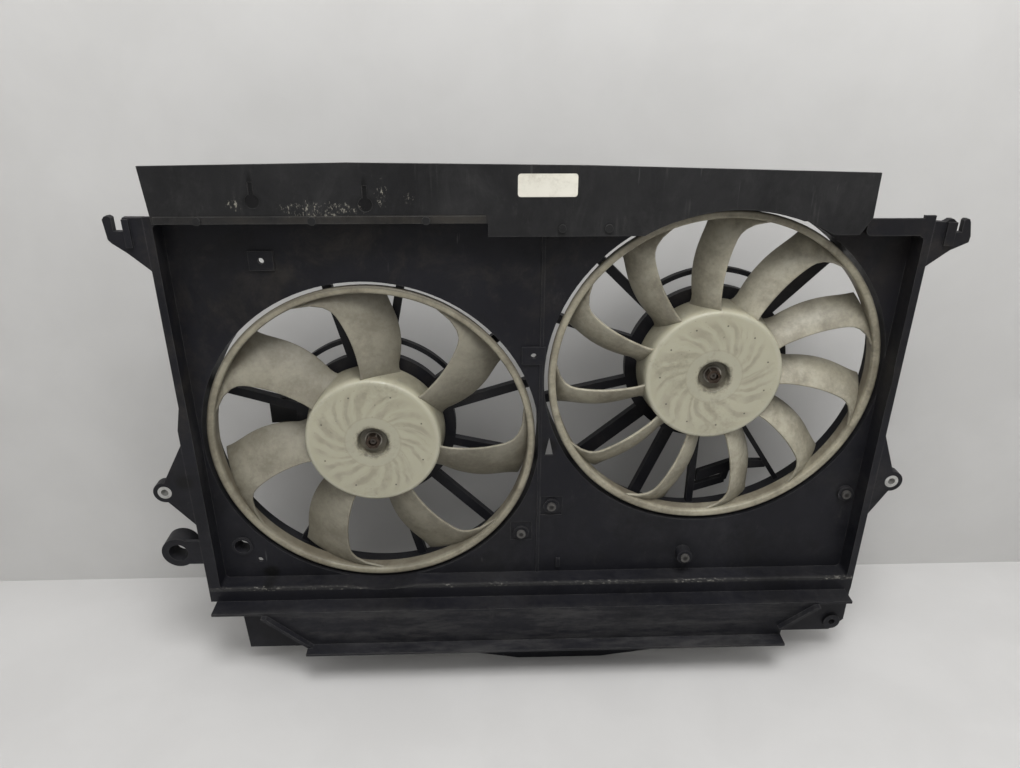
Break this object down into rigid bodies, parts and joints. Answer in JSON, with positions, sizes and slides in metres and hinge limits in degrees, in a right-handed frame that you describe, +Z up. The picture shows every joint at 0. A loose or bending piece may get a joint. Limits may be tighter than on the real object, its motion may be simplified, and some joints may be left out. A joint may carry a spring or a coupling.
{
  "type": "radiator cooling fan module",
  "caption": "Moulded black shroud with two ringed cooling fans on electric motors, spider arms, side bolt ears, hooks and an upper air flap.",
  "frame": {"origin": "midway between the two side bolts, on the radiator-side face of their steel bushings", "axes": "+X to the right seen from the radiator side, +Y from the radiator to the engine, +Z up as pictured"},
  "size_m": [0.7531, 0.14, 0.533],
  "materials": {
    "black_plastic": "dull moulded glass-filled plastic, dusty",
    "flap_plastic": "dull sheet plastic, scratched",
    "clip_plastic": "satin",
    "label_paper": "blank sticker",
    "zinc_steel": "zinc plated",
    "cream_plastic": "satin, aged",
    "bright_steel": "ground",
    "lamination_steel": "varnished laminations",
    "copper_wire": "enamelled",
    "copper": "turned",
    "case_coating": "black electro-coat",
    "bronze": "sintered",
    "ferrite": "ceramic magnet",
    "card_plastic": "moulded phenolic",
    "carbon": "pressed carbon",
    "inlet_plastic": "satin",
    "tin_brass": "tin plated"
  },
  "bodies": {
    "shroud_module": {"shroud": "black_plastic", "air_flap": "flap_plastic", "flap_clips": "clip_plastic", "label": "label_paper", "left_bushing": "zinc_steel", "right_bushing": "zinc_steel", "boss_screws": "zinc_steel", "low_ear": "black_plastic", "left_spider": "black_plastic", "left_bolt_ear": "black_plastic", "left_hook": "black_plastic", "right_spider": "black_plastic", "right_bolt_ear": "black_plastic", "right_hook": "black_plastic", "left_motor_case": "case_coating", "left_end_cover": "zinc_steel", "left_motor_screws": "zinc_steel", "left_front_bearing": "bronze", "left_rear_bearing": "bronze", "left_magnets": "ferrite", "left_brush_card": "card_plastic", "left_brushes": "carbon", "left_inlet": "inlet_plastic", "left_inlet_pins": "tin_brass", "right_motor_case": "case_coating", "right_end_cover": "zinc_steel", "right_motor_screws": "zinc_steel", "right_front_bearing": "bronze", "right_rear_bearing": "bronze", "right_magnets": "ferrite", "right_brush_card": "card_plastic", "right_brushes": "carbon", "right_inlet": "inlet_plastic", "right_inlet_pins": "tin_brass"},
    "left_rotor": {"left_fan": "cream_plastic", "left_fan_nut": "zinc_steel", "left_motor_shaft": "bright_steel", "left_armature_core": "lamination_steel", "left_winding": "copper_wire", "left_commutator": "copper"},
    "right_rotor": {"right_fan": "cream_plastic", "right_fan_nut": "zinc_steel", "right_motor_shaft": "bright_steel", "right_armature_core": "lamination_steel", "right_winding": "copper_wire", "right_commutator": "copper"}
  },
  "joints": [
    {"name": "left_fan_spin", "type": "hinge", "parent": "shroud_module", "child": "left_rotor", "pos_m": [-0.158, 0.02, 0.0415], "axis": [0, 1, 0], "continuous": true},
    {"name": "right_fan_spin", "type": "hinge", "parent": "shroud_module", "child": "right_rotor", "pos_m": [0.1734, 0.02, 0.1081], "axis": [0, 1, 0], "continuous": true}
  ]
}
